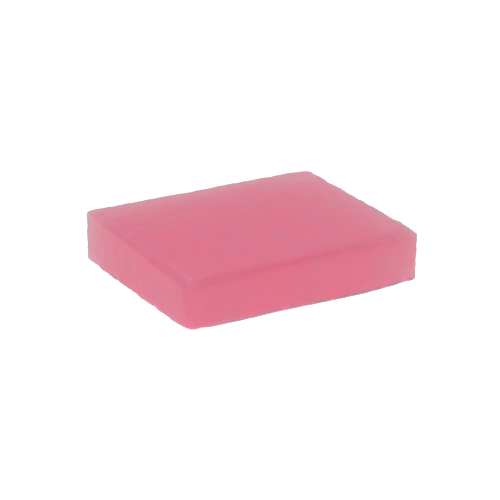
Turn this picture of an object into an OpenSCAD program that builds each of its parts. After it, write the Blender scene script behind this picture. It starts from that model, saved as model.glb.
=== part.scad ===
// Clay bar: one kneadable block of detailing clay, lying flat.
// Units are millimetres. The origin is the centre of the footprint, on the
// surface that the bar rests on. X runs along the long side and +Z is up.

/* [Bar] */
// Length of the long side, along X
bar_length = 72; // [40:1:120]
// Length of the short side, along Y
bar_width = 60; // [30:1:100]
// Thickness, along Z
bar_thickness = 15; // [8:0.5:30]

/* [Edges] */
// Radius of the four upright corners, seen from above
corner_radius = 3.0; // [1:0.1:10]
// Radius of the edges around the top face
top_edge_radius = 2.4; // [0.5:0.1:4]
// Radius of the edges around the underside
bottom_edge_radius = 1.5; // [0.3:0.1:3]

/* [Lifted end] */
// How far the underside has curled up at the +X end
heel_rise = 0.8; // [0.2:0.1:2]
// Length of underside that has curled up there
heel_length = 16; // [8:1:30]

/* [Hidden] */
$fn = 96;

// The clay's colour
clay_pink = "#DD7F95";
// Least width that the rim keeps between an edge's rounding and a corner's centre
rim_land = 0.2;
// An edge can't be rounder than the upright corner that it turns around
top_r = min(top_edge_radius, corner_radius - rim_land);
bottom_r = min(bottom_edge_radius, corner_radius - rim_land);
// Flat sides between the upright corners
straight_x = bar_length - 2 * corner_radius;
straight_y = bar_width - 2 * corner_radius;
// How far a cutter runs past what it cuts
past = 5;

// The outer quarter of a disc, above or below its centre
module quarter_disc(radius, upper) {
    intersection() {
        circle(r = radius);
        translate([0, upper ? 0 : -radius])
            square([radius, radius]);
    }
}

// Section through the rim: x runs outwards from a corner's centre, y is up
module rim_section() {
    polygon([
        [0, 0],
        [corner_radius - bottom_r, 0],
        [corner_radius - bottom_r, bottom_r],
        [corner_radius, bottom_r],
        [corner_radius, bar_thickness - top_r],
        [corner_radius - top_r, bar_thickness - top_r],
        [corner_radius - top_r, bar_thickness],
        [0, bar_thickness]
    ]);
    translate([corner_radius - bottom_r, bottom_r])
        quarter_disc(bottom_r, false);
    translate([corner_radius - top_r, bar_thickness - top_r])
        quarter_disc(top_r, true);
}

// A straight run of rim, whose outside faces +X, centred on Y
module straight_rim(run) {
    rotate([90, 0, 0])
        linear_extrude(height = run, center = true)
            rim_section();
}

// The rounded block, before its end curled up
module rounded_block() {
    translate([-straight_x / 2, -straight_y / 2, 0])
        cube([straight_x, straight_y, bar_thickness]);
    for (side = [0, 180])
        rotate([0, 0, side])
            translate([straight_x / 2, 0, 0])
                straight_rim(straight_y);
    for (side = [90, 270])
        rotate([0, 0, side])
            translate([straight_y / 2, 0, 0])
                straight_rim(straight_x);
    for (corner = [[1, 1, 0], [-1, 1, 90], [-1, -1, 180], [1, -1, 270]])
        translate([corner[0] * straight_x / 2, corner[1] * straight_y / 2, 0])
            rotate([0, 0, corner[2]])
                rotate_extrude(angle = 90)
                    rim_section();
}

// The air under the curled end: a shallow wedge, right across the bar
module curl_gap() {
    slope = heel_rise / heel_length;
    start_x = bar_length / 2 - heel_length;
    rotate([90, 0, 0])
        linear_extrude(height = bar_width + 2 * past, center = true)
            polygon([
                [start_x - past, -slope * past],
                [bar_length / 2 + past, slope * (heel_length + past)],
                [bar_length / 2 + past, -past],
                [start_x - past, -past]
            ]);
}

module clay_bar() {
    color(clay_pink)
        difference() {
            rounded_block();
            curl_gap();
        }
}

clay_bar();
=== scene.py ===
"""Visual model of a detailing clay bar: one soft, waxy, slightly translucent block."""

import math

import bpy
import numpy as np
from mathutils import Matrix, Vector, noise


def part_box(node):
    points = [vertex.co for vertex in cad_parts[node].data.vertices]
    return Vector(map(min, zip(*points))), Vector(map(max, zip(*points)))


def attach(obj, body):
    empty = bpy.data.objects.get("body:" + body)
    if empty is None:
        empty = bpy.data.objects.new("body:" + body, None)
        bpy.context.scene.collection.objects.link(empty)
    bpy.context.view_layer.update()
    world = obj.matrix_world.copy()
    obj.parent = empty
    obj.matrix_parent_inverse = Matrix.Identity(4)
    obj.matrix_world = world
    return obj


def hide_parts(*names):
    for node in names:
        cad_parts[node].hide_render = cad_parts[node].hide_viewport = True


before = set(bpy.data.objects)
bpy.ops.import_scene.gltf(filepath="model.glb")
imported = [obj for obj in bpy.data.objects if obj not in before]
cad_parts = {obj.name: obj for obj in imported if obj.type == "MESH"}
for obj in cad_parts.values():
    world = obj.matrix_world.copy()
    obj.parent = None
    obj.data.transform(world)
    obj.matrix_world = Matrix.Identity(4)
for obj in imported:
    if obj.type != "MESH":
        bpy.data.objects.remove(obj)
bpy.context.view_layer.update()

MM = 0.001

# ---------------------------------------------------------------- the block's place
LOW, HIGH = (np.array(corner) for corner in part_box("clay_bar"))
CENTRE = (LOW + HIGH) / 2
HALF = (HIGH - LOW) / 2
THICKNESS = HIGH[2] - LOW[2]

# ---------------------------------------------------------------- rounding, by corner
# Corners are named by the side of X, then the side of Y, that they lie on.
TOP_RADIUS = {"-x-y": 3.6 * MM, "+x-y": 0.75 * MM, "+x+y": 2.5 * MM, "-x+y": 1.4 * MM}
BASE_RADIUS = {"-x-y": 1.9 * MM, "+x-y": 0.4 * MM, "+x+y": 1.3 * MM, "-x+y": 1.4 * MM}
UPRIGHT_RADIUS = {"-x-y": 3.3 * MM, "+x-y": 1.3 * MM, "+x+y": 3.4 * MM, "-x+y": 1.4 * MM}
# How far from a corner its upright radius takes over from the radius along the edges
CORNER_REACH = 9.0 * MM

# ---------------------------------------------------------------- mesh density
# The mesh is fine in a rim along every edge, and up the sides, and coarser in between
RIM_WIDTH = 5.0 * MM
RIM_STEP = 0.22 * MM
SIDE_STEP = 0.275 * MM
FACE_STEP = 0.52 * MM

# ---------------------------------------------------------------- hand marks
# Unevenness of the surface: height all over, extra height at torn edges, and wavelength
UNEVENNESS = [
    (0.10 * MM, 0.0, 19 * MM),
    (0.06 * MM, 0.26 * MM, 3.4 * MM),
    (0.03 * MM, 0.12 * MM, 1.6 * MM),
]
# How far in from an edge the tearing fades, and where along X it starts, as a share
TORN_FADE = 1.8 * MM
TORN_START = 0.7
# The underside curls up at the +X end
HEEL_LENGTH = 17.0 * MM
HEEL_RISE = 1.0 * MM
HEEL_CURVE = 1.1
# The foot of the -Y side clears the floor a little, from about the middle to the heel
FOOT_RISE = 0.32 * MM
FOOT_START = -20.0 * MM
FOOT_FULL = -8.0 * MM
FOOT_REACH = 12.0 * MM
# How quickly both lifts die out from the underside towards the middle of the thickness
LIFT_CURVE = 1.5
# The +X end leans in towards its foot
END_TAPER = 0.45 * MM
TAPER_REACH = 8.0 * MM
# That end is not quite square either: it falls short at the -Y corner
END_SKEW = 0.52 * MM
# A thumb has pressed the near left corner of the top down a little
PRESS_DEPTH = 0.5 * MM
PRESS_REACH = 9.0 * MM
# A burr grows along the top edge of the +X end, and drops away before the -Y corner
BURR_HEIGHT = 0.28 * MM
BURR_START = -14.0 * MM
BURR_STOP = -21.2 * MM
BURR_DROP = 0.7 * MM
# How far in from the top and from the end the burr begins, and from where on it is whole
BURR_BELOW_TOP = (3.5 * MM, 0.5 * MM)
BURR_BEHIND_END = (3.2 * MM, 0.6 * MM)

# ---------------------------------------------------------------- colours
CLAY_PINK = (0.755, 0.157, 0.252)
CLOUD_PINK = (0.722, 0.164, 0.268)
MOTTLE_PINK = (0.70, 0.19, 0.285)
SPECK_PINK = (0.78, 0.40, 0.46)
# Painted shade, a deeper pink, for the top's -Y edge
SHADED_PINK = (0.585, 0.118, 0.203)
# Painted shade, a duller pink, for the top's -X edge and the near upright edge
LEFT_SHADE_PINK = (0.60, 0.183, 0.283)
# Painted sheen, whitish, for the +X end and the +Y side, and painted light on the near upright
# edge and round the foot
SHEEN_PALE = (0.66, 0.46, 0.50)
# Painted reflection, greyish, for the far edges
REFLECTION_GREY = (0.42, 0.34, 0.378)
# Painted shade, dark grey, around the foot and in the right upright edge
SHADE_GREY = (0.20, 0.205, 0.235)
MOTTLE_SHARE = 0.30
SPECK_SHARE = 0.16

# ---------------------------------------------------------------- painted sheen and painted light
# A whitish painted sheen lies along the +X end and the +Y side, and fades inwards from there
SHEEN_END = 0.42
SHEEN_SIDE = 0.68
SHEEN_END_FADE = 9.0 * MM
SHEEN_SIDE_FADE = 7.6 * MM
SHEEN_FACE_FADE = 6.0 * MM
# It is much fainter along the top's -X edge, from the -Y corner on
SHEEN_LEFT = 0.07
SHEEN_LEFT_WIDTH = 2.4 * MM
SHEEN_LEFT_RUN = 20 * MM
# Painted light as faint lies on the upright edge between the -X and -Y sides, and around the foot
CORNER_LIGHT = 0.05
CORNER_LIGHT_FADE = 4.0 * MM
FOOT_LIGHT = 0.06
FOOT_LIGHT_FADE = 3.5 * MM

# ---------------------------------------------------------------- painted reflection and painted shade
# Greyish painted reflection in a far edge: its strength, its width, and the two sides that meet
# there
REFLECTION_BANDS = [
    (0.59, 2.4 * MM, "+x", "+z"),
    (0.60, 2.6 * MM, "+y", "+z"),
    (0.62, 2.6 * MM, "-x", "+y"),
    (0.35, 2.6 * MM, "+x", "+y"),
]
# Painted shade around the foot, a dark contact line: its strength at the -X end and at the +X end,
# and how far it reaches up the sides and in under the block
FOOT_SHADE = (1.10, 0.75)
FOOT_SHADE_UP = 1.15 * MM
FOOT_SHADE_IN = 2.2 * MM
# Painted shade in the upright edge between the +X end and the -Y side
RIGHT_SHADE = 0.57
RIGHT_SHADE_WIDTH = 1.0 * MM

# ---------------------------------------------------------------- painted shade over edges of the top
# A band over an edge is a narrow one, with this share, over one so many times as wide
NARROW_SHARE = 0.63
WIDE_TIMES = 2.2
BAND_FADE = 3.0 * MM
# Painted shade gives the -Y edge a deeper pink, most of all towards the +X end
FRONT_SHADE_CENTRE = -0.2 * MM
FRONT_SHADE_WIDTH = 1.5 * MM
FRONT_SHADE_LEAST = 0.75
FRONT_SHADE_RUN = 28 * MM
# Painted shade makes the -X edge duller, and the upright edge between the -X and -Y sides too
LEFT_SHADE_SHARE = 0.53
LEFT_SHADE_CENTRE = -0.9 * MM
LEFT_SHADE_WIDTH = 1.8 * MM
UPRIGHT_SHADE = 0.25
UPRIGHT_SHADE_FADE = 3.5 * MM


def smoothstep(low, high, value):
    t = np.clip((value - low) / (high - low), 0.0, 1.0)
    return t * t * (3.0 - 2.0 * t)


def mix(a, b, t):
    return a + (b - a) * t


def by_corner(values, x, y):
    """Blend four corner values over the block's plan."""
    u = smoothstep(-HALF[0], HALF[0], x)
    v = smoothstep(-HALF[1], HALF[1], y)
    front = mix(values["-x-y"], values["+x-y"], u)
    back = mix(values["-x+y"], values["+x+y"], u)
    return mix(front, back, v)


def grid_lines(half):
    """Places of the grid lines along one side: close together near both ends."""
    if half <= 2 * RIM_WIDTH:
        return np.linspace(-half, half, round(2 * half / SIDE_STEP) + 1)
    rim = np.linspace(0.0, RIM_WIDTH, round(RIM_WIDTH / RIM_STEP), endpoint=False)
    inner = 2 * (half - RIM_WIDTH)
    middle = np.linspace(0.0, inner, round(inner / FACE_STEP), endpoint=False)
    return np.concatenate([-half + rim, -half + RIM_WIDTH + middle, np.sort(half - rim)])


def box_surface(lines):
    """Points and outward-facing quads of a box whose grid lines are given per axis."""
    counts = [len(line) for line in lines]
    ids, quads = {}, []

    def point(index):
        return ids.setdefault(index, len(ids))

    for axis in range(3):
        a, b = (axis + 1) % 3, (axis + 2) % 3
        for end in (0, counts[axis] - 1):
            for i in range(counts[a] - 1):
                for j in range(counts[b] - 1):
                    ring = []
                    for di, dj in ((0, 0), (1, 0), (1, 1), (0, 1)):
                        index = [0, 0, 0]
                        index[axis], index[a], index[b] = end, i + di, j + dj
                        ring.append(point(tuple(index)))
                    quads.append(ring if end else ring[::-1])
    keys = np.array(list(ids))
    points = np.stack([np.asarray(lines[k])[keys[:, k]] for k in range(3)], axis=1)
    return points, quads


def round_off(points):
    """Turn box-surface points, centred on the origin, into the rounded block's surface.

    Returns the new points and the direction that each one faces.
    """
    x, y, z = points.T
    near_x = smoothstep(HALF[0] - CORNER_REACH, HALF[0] - CORNER_REACH / 3, np.abs(x))
    near_y = smoothstep(HALF[1] - CORNER_REACH, HALF[1] - CORNER_REACH / 3, np.abs(y))
    upper = smoothstep(-0.15, 0.15, z / THICKNESS)
    edge = mix(by_corner(BASE_RADIUS, x, y), by_corner(TOP_RADIUS, x, y), upper)
    plan = mix(edge, by_corner(UPRIGHT_RADIUS, x, y), near_x * near_y)
    radii = np.stack([plan, plan, edge], axis=1)
    inner = HALF - radii
    share = np.clip((np.abs(points) - inner) / radii, 0.0, 1.0)
    facing = np.tan(share * math.pi / 4)
    facing /= np.linalg.norm(facing, axis=1, keepdims=True)
    facing *= np.sign(points)
    rounded = np.clip(points, -inner, inner) + radii * facing
    return rounded, facing


def wobble(points, wavelength, seed):
    """Smooth noise from -1 to 1 at each point, with features about a wavelength across."""
    shift = Vector((seed * 17.31, seed * 5.77, seed * 11.13))
    return np.array([noise.noise(Vector(p) / wavelength + shift) for p in points])


def edge_distance(points):
    """How far each surface point lies from the nearest edge of the block."""
    return np.sort(HALF - np.abs(points), axis=1)[:, 1]


def hand_marks(points, facing):
    """The uneven surface of a soft block: slow swells, and a ripple along its edges."""
    x, y, _ = points.T
    torn_end = smoothstep(TORN_START * HALF[0], HALF[0], np.abs(x))
    torn = np.maximum(smoothstep(-HALF[1], HALF[1], y), torn_end)
    at_edge = torn * np.exp(-edge_distance(points) / TORN_FADE)
    height = np.zeros(len(points))
    for seed, (all_over, extra, wavelength) in enumerate(UNEVENNESS, start=1):
        height += (all_over + extra * at_edge) * wobble(points, wavelength, seed)
    return points + facing * height[:, None]


def lifted_heel(points):
    """The underside curls up a little at the +X end, which leans in towards its foot."""
    x, y, z = points.T
    low = np.clip(0.5 - z / THICKNESS, 0, 1)
    lift = low ** LIFT_CURVE
    curl = np.clip((x - (HALF[0] - HEEL_LENGTH)) / HEEL_LENGTH, 0, 1) ** HEEL_CURVE
    points[:, 2] += HEEL_RISE * curl * lift
    front = smoothstep(-HALF[1] + FOOT_REACH, -HALF[1], y)
    points[:, 2] += FOOT_RISE * smoothstep(FOOT_START, FOOT_FULL, x) * front * lift
    skew = END_SKEW * smoothstep(HALF[1], -HALF[1], y)
    points[:, 0] -= (END_TAPER * low + skew) * smoothstep(HALF[0] - TAPER_REACH, HALF[0], x)
    return points


def pressed_corner(points):
    """The near left corner of the top is pressed down."""
    x, y, z = points.T
    away = np.hypot(x + HALF[0], y + HALF[1])
    dent = PRESS_DEPTH * np.exp(-((away / PRESS_REACH) ** 2))
    points[:, 2] -= dent * smoothstep(0.0, HALF[2], z)
    return points


def burred_edge(points):
    """A burr stands up along the top edge of the +X end, and stops before the corner."""
    x, y, z = points.T
    top = smoothstep(HALF[2] - BURR_BELOW_TOP[0], HALF[2] - BURR_BELOW_TOP[1], z)
    end = smoothstep(HALF[0] - BURR_BEHIND_END[0], HALF[0] - BURR_BEHIND_END[1], x)
    grown = smoothstep(BURR_START, BURR_STOP, y)
    dropped = smoothstep(BURR_STOP - BURR_DROP, BURR_STOP, y)
    points[:, 2] += BURR_HEIGHT * top * end * grown * dropped
    return points


def distances_inside(points):
    """How far each point lies inside each of the block's six planes."""
    inside = {}
    for axis, name in enumerate("xyz"):
        inside["+" + name] = HALF[axis] - points[:, axis]
        inside["-" + name] = HALF[axis] + points[:, axis]
    return inside


def edge_painted_light(inside):
    """How much painted sheen and painted light there is, from 0 to 1, from the distances inside
    each plane.
    """
    across_y = np.minimum(inside["-y"], inside["+y"])
    across_x = np.minimum(inside["-x"], inside["+x"])
    across_z = np.minimum(inside["-z"], inside["+z"])
    end = SHEEN_END * np.exp(-inside["+x"] / SHEEN_END_FADE)
    end *= np.exp(-np.minimum(across_y, across_z) / SHEEN_FACE_FADE)
    side = SHEEN_SIDE * np.exp(-inside["+y"] / SHEEN_SIDE_FADE)
    side *= np.exp(-np.minimum(across_x, across_z) / SHEEN_FACE_FADE)
    left = SHEEN_LEFT * np.exp(-((np.hypot(inside["-x"], inside["+z"]) / SHEEN_LEFT_WIDTH) ** 2))
    left *= np.exp(-((inside["-y"] / SHEEN_LEFT_RUN) ** 2))
    corner = CORNER_LIGHT * np.exp(-np.hypot(inside["-x"], inside["-y"]) / CORNER_LIGHT_FADE)
    from_foot = np.hypot(np.minimum(across_x, across_y), inside["-z"])
    foot = FOOT_LIGHT * np.exp(-from_foot / FOOT_LIGHT_FADE)
    return 1 - (1 - end) * (1 - side) * (1 - left) * (1 - corner) * (1 - foot)


def along(inside, width, one, other):
    """A band of that width along the edge where two sides meet, with soft borders."""
    return np.exp(-((np.hypot(inside[one], inside[other]) / width) ** 3))


def edge_reflection(inside):
    """How much greyish painted reflection lies in the far edges, from 0 to 1."""
    return np.maximum.reduce([strength * along(inside, *place) for strength, *place in REFLECTION_BANDS])


def edge_shade(inside):
    """How much dark painted shade lies around the foot and in the right edge; past 1 is full."""
    under = np.minimum.reduce([inside[side] for side in ("-x", "+x", "-y", "+y")])
    foot = mix(*FOOT_SHADE, smoothstep(0.0, 2 * HALF[0], inside["-x"]))
    foot *= np.exp(-((inside["-z"] / FOOT_SHADE_UP) ** 2) - ((under / FOOT_SHADE_IN) ** 2))
    right = RIGHT_SHADE * along(inside, RIGHT_SHADE_WIDTH, "+x", "-y")
    return np.maximum(foot, right)


def over_edge(inside, top, side, centre, width):
    """A narrow band over one edge of the top, with a wider and fainter one around it."""
    down = inside[top] - inside[side]
    narrow = np.exp(-(((down - centre) / width) ** 2))
    wide = np.exp(-((down / (WIDE_TIMES * width)) ** 2))
    off = np.minimum(inside[top], inside[side])
    return mix(wide, narrow, NARROW_SHARE) * np.exp(-off / BAND_FADE)


def front_edge_shade(inside):
    """How deep the painted shade makes the pink along the top's -Y edge."""
    x = HALF[0] - inside["+x"]
    strength = mix(FRONT_SHADE_LEAST, 1.0, smoothstep(0.0, FRONT_SHADE_RUN, x))
    return strength * over_edge(inside, "+z", "-y", FRONT_SHADE_CENTRE, FRONT_SHADE_WIDTH)


def left_edge_shade(inside):
    """How dull the painted shade makes the pink along the top's -X edge and the near upright edge.
    """
    top = LEFT_SHADE_SHARE * over_edge(inside, "+z", "-x", LEFT_SHADE_CENTRE, LEFT_SHADE_WIDTH)
    from_upright = np.hypot(inside["-x"], inside["-y"])
    return np.maximum(top, UPRIGHT_SHADE * np.exp(-from_upright / UPRIGHT_SHADE_FADE))


# The masks of painted shade, sheen, reflection and light that the material reads from the mesh
MASKS = {
    "painted_light": edge_painted_light,
    "painted_reflection": edge_reflection,
    "front_shade": front_edge_shade,
    "left_shade": left_edge_shade,
    "painted_shade": edge_shade,
}


def clay_mesh():
    lines = [grid_lines(half) for half in HALF]
    points, quads = box_surface(lines)
    points, facing = round_off(points)
    inside = distances_inside(points)
    points = hand_marks(points, facing)
    points = lifted_heel(points)
    points = pressed_corner(points)
    points = burred_edge(points)
    points += CENTRE
    points[:, 2] = np.maximum(points[:, 2], LOW[2])
    mesh = bpy.data.meshes.new("clay_block")
    mesh.from_pydata(points.tolist(), [], quads)
    for name, mask in MASKS.items():
        attribute = mesh.attributes.new(name, "FLOAT", "POINT")
        attribute.data.foreach_set("value", mask(inside).tolist())
    mesh.shade_smooth()
    return mesh


def new_node(nodes, kind, **settings):
    node = nodes.new("ShaderNode" + kind)
    for name, value in settings.items():
        setattr(node, name, value)
    return node


def colour_mix(material, share, below, above):
    """Mix two colours, each a constant or a socket, by the share in a socket."""
    nodes, links = material.node_tree.nodes, material.node_tree.links
    mixer = new_node(nodes, "Mix", data_type="RGBA")
    links.new(share, mixer.inputs[0])
    for index, value in ((6, below), (7, above)):
        if isinstance(value, tuple):
            mixer.inputs[index].default_value = (*value, 1)
        else:
            links.new(value, mixer.inputs[index])
    return mixer.outputs[2]


def noise_mask(material, wavelength, low, high, detail=2.0, least=0.0, most=1.0):
    """Noise between least and most, with features about a wavelength across."""
    nodes, links = material.node_tree.nodes, material.node_tree.links
    where = new_node(nodes, "TexCoord")
    grain = new_node(nodes, "TexNoise")
    grain.inputs["Scale"].default_value = 1 / wavelength
    grain.inputs["Detail"].default_value = detail
    links.new(where.outputs["Object"], grain.inputs["Vector"])
    spread = new_node(nodes, "MapRange", interpolation_type="SMOOTHSTEP")
    spread.inputs["From Min"].default_value = low
    spread.inputs["From Max"].default_value = high
    spread.inputs["To Min"].default_value = least
    spread.inputs["To Max"].default_value = most
    links.new(grain.outputs["Fac"], spread.inputs["Value"])
    return spread.outputs["Result"]


def times(material, share, factor):
    """The share in a socket times a factor, which is a number or a socket, up to 1."""
    nodes, links = material.node_tree.nodes, material.node_tree.links
    product = new_node(nodes, "Math", operation="MULTIPLY", use_clamp=True)
    links.new(share, product.inputs[0])
    if isinstance(factor, float):
        product.inputs[1].default_value = factor
    else:
        links.new(factor, product.inputs[1])
    return product.outputs["Value"]


def lay_painted_light(material, colour, mask, painted_colour, broken=None):
    """Lay a painted colour over another where the mesh's mask says so, perhaps broken up; the
    masks are of painted light and shade.
    """
    share = new_node(material.node_tree.nodes, "Attribute", attribute_name=mask).outputs["Fac"]
    if broken is not None:
        share = times(material, share, broken)
    return colour_mix(material, share, colour, painted_colour)


def clay_colour(material):
    """Pink clay with faint clouds and specks, then painted shade, sheen, reflection and light over
    its edges and foot.
    """
    clouds = noise_mask(material, 9 * MM, 0.32, 0.68, detail=3.0)
    colour = colour_mix(material, clouds, CLAY_PINK, CLOUD_PINK)
    mottle = noise_mask(material, 4.2 * MM, 0.34, 0.66, detail=3.0)
    colour = colour_mix(material, times(material, mottle, MOTTLE_SHARE), colour, MOTTLE_PINK)
    specks = noise_mask(material, 0.55 * MM, 0.66, 0.76, detail=1.0)
    colour = colour_mix(material, times(material, specks, SPECK_SHARE), colour, SPECK_PINK)
    # Painted shade over the top's -Y and -X edges
    colour = lay_painted_light(material, colour, "front_shade", SHADED_PINK)
    colour = lay_painted_light(material, colour, "left_shade", LEFT_SHADE_PINK)
    cloudy = noise_mask(material, 4.0 * MM, 0.30, 0.70, detail=3.0, least=0.82, most=1.12)
    # Painted sheen and light, painted reflection in the far edges, and painted shade at the foot
    # and right edge
    colour = lay_painted_light(material, colour, "painted_light", SHEEN_PALE, cloudy)
    patchy = noise_mask(material, 3.4 * MM, 0.32, 0.62, detail=3.0, least=0.40, most=1.15)
    colour = lay_painted_light(material, colour, "painted_reflection", REFLECTION_GREY, patchy)
    return lay_painted_light(material, colour, "painted_shade", SHADE_GREY, patchy)


def clay_bump(material):
    """A fine waxy grain over small soft dents."""
    nodes, links = material.node_tree.nodes, material.node_tree.links
    dents = new_node(nodes, "Bump")
    dents.inputs["Distance"].default_value = 0.05 * MM
    links.new(noise_mask(material, 2.0 * MM, 0.2, 0.8), dents.inputs["Height"])
    grain = new_node(nodes, "Bump")
    grain.inputs["Distance"].default_value = 0.015 * MM
    links.new(noise_mask(material, 0.45 * MM, 0.2, 0.8), grain.inputs["Height"])
    links.new(dents.outputs["Normal"], grain.inputs["Normal"])
    return grain.outputs["Normal"]


def clay_material():
    material = bpy.data.materials.new("clay")
    material.use_nodes = True
    shader = material.node_tree.nodes["Principled BSDF"]
    shader.inputs["IOR"].default_value = 1.45
    shader.inputs["Specular IOR Level"].default_value = 0.45
    shader.inputs["Subsurface Weight"].default_value = 1.0
    shader.inputs["Subsurface Radius"].default_value = (1.0, 0.75, 0.8)
    shader.inputs["Subsurface Scale"].default_value = 4.0 * MM
    links = material.node_tree.links
    gloss = noise_mask(material, 3.0 * MM, 0.3, 0.7, detail=3.0, least=0.50, most=0.60)
    links.new(gloss, shader.inputs["Roughness"])
    links.new(clay_colour(material), shader.inputs["Base Color"])
    links.new(clay_bump(material), shader.inputs["Normal"])
    return material


def clay_block():
    block = bpy.data.objects.new("clay_block", clay_mesh())
    bpy.context.scene.collection.objects.link(block)
    block.data.materials.append(clay_material())
    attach(block, "root")
    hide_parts("clay_bar")
    return block


# ---------------------------------------------------------------- camera
# Where the camera stands: degrees round from the front, degrees up, and how far away
CAMERA_AZIMUTH = -29.26
CAMERA_ELEVATION = 21.78
CAMERA_DISTANCE = 0.7472
LENS_MM = 195.3
SENSOR_MM = 36.0
# The picture's centre lies a little left of the block's centre, and below it
AIM_LEFT = 0.29 * MM
AIM_DROP = 1.04 * MM


def towards(azimuth, elevation):
    """The unit direction at so many degrees round from the front, and degrees up."""
    a, e = math.radians(azimuth), math.radians(elevation)
    return Vector((math.sin(a) * math.cos(e), -math.cos(a) * math.cos(e), math.sin(e)))


def camera():
    back = towards(CAMERA_AZIMUTH, CAMERA_ELEVATION)
    data = bpy.data.cameras.new("camera")
    data.lens = LENS_MM
    data.sensor_width = SENSOR_MM
    data.clip_start = 0.01
    seen = bpy.data.objects.new("camera", data)
    turn = back.to_track_quat("Z", "Y")
    aside = turn @ Vector((-AIM_LEFT, -AIM_DROP, 0))
    seen.rotation_euler = turn.to_euler()
    seen.location = Vector(CENTRE) + aside + CAMERA_DISTANCE * back
    bpy.context.scene.collection.objects.link(seen)
    bpy.context.scene.camera = seen


# ---------------------------------------------------------------- studio
WHITE = (1, 1, 1, 1)
# One large soft box overhead: degrees round from the front and up, metres, and watts
SOFT_BOX_AZIMUTH = -25
SOFT_BOX_ELEVATION = 76
SOFT_BOX_DISTANCE = 1.3
SOFT_BOX_SIDE = 2.6
SOFT_BOX_POWER = 27.3
# Strength of the even light from all round
FILL_LIGHT = 0.30
# The floor is a light table, lit from below, so the block casts hardly any shadow
FLOOR_SIDE = 4.0
FLOOR_GAP = 0.02 * MM
FLOOR_GLOW = 1.15
FLOOR_COLOUR = (0.12, 0.12, 0.12, 1)


def soft_box():
    data = bpy.data.lights.new("overhead", "AREA")
    data.shape = "SQUARE"
    data.size = SOFT_BOX_SIDE
    data.energy = SOFT_BOX_POWER
    lamp = bpy.data.objects.new("overhead", data)
    aim = towards(SOFT_BOX_AZIMUTH, SOFT_BOX_ELEVATION)
    lamp.location = Vector(CENTRE) + SOFT_BOX_DISTANCE * aim
    lamp.rotation_euler = aim.to_track_quat("Z", "Y").to_euler()
    bpy.context.scene.collection.objects.link(lamp)


def surroundings():
    """A dim even fill, in front of a backdrop that looks plain white."""
    world = bpy.data.worlds.new("studio")
    world.use_nodes = True
    nodes, links = world.node_tree.nodes, world.node_tree.links
    seen = nodes.new("ShaderNodeLightPath")
    strength = nodes.new("ShaderNodeMapRange")
    strength.inputs["To Min"].default_value = FILL_LIGHT
    strength.inputs["To Max"].default_value = 1.0
    links.new(seen.outputs["Is Camera Ray"], strength.inputs["Value"])
    nodes["Background"].inputs["Color"].default_value = WHITE
    links.new(strength.outputs["Result"], nodes["Background"].inputs["Strength"])
    bpy.context.scene.world = world


def pale_floor():
    half = FLOOR_SIDE / 2
    mesh = bpy.data.meshes.new("floor")
    corners = [(-half, -half, 0), (half, -half, 0), (half, half, 0), (-half, half, 0)]
    mesh.from_pydata(corners, [], [(0, 1, 2, 3)])
    floor = bpy.data.objects.new("floor", mesh)
    floor.location = (CENTRE[0], CENTRE[1], LOW[2] - FLOOR_GAP)
    pale = bpy.data.materials.new("pale_floor")
    pale.use_nodes = True
    surface = pale.node_tree.nodes["Principled BSDF"]
    surface.inputs["Base Color"].default_value = FLOOR_COLOUR
    surface.inputs["Roughness"].default_value = 1.0
    surface.inputs["Emission Color"].default_value = WHITE
    surface.inputs["Emission Strength"].default_value = FLOOR_GLOW
    mesh.materials.append(pale)
    bpy.context.scene.collection.objects.link(floor)


def studio():
    bpy.context.scene.view_settings.view_transform = "Standard"
    soft_box()
    surroundings()
    pale_floor()


clay_block()
camera()
studio()
